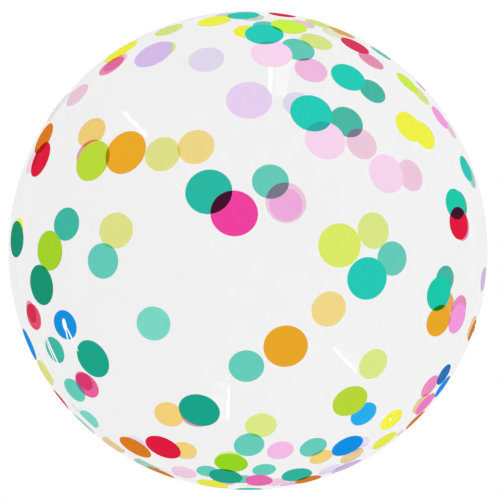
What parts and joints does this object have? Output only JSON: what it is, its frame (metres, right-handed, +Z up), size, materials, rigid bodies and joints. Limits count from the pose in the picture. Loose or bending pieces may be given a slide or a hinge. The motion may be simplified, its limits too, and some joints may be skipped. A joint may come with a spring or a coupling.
{
  "type": "clear bubble balloon",
  "caption": "Round clear bubble balloon, blown up and sealed, with confetti dots printed on its film and a thin weld round its middle.",
  "frame": {"origin": "middle of the flat spot that the balloon lies on, on the ground", "axes": "+Z up, through the middle of the ball; the weld lies in the XZ plane; -Y is the way the front sheet faces, +Y the way the back sheet faces"},
  "size_m": [0.5616, 0.56, 0.559],
  "materials": {
    "film": "thin clear stretched film, glossy, with translucent printed dots of several colours on it"
  },
  "bodies": {
    "root": {"bubble": "film"}
  },
  "joints": []
}
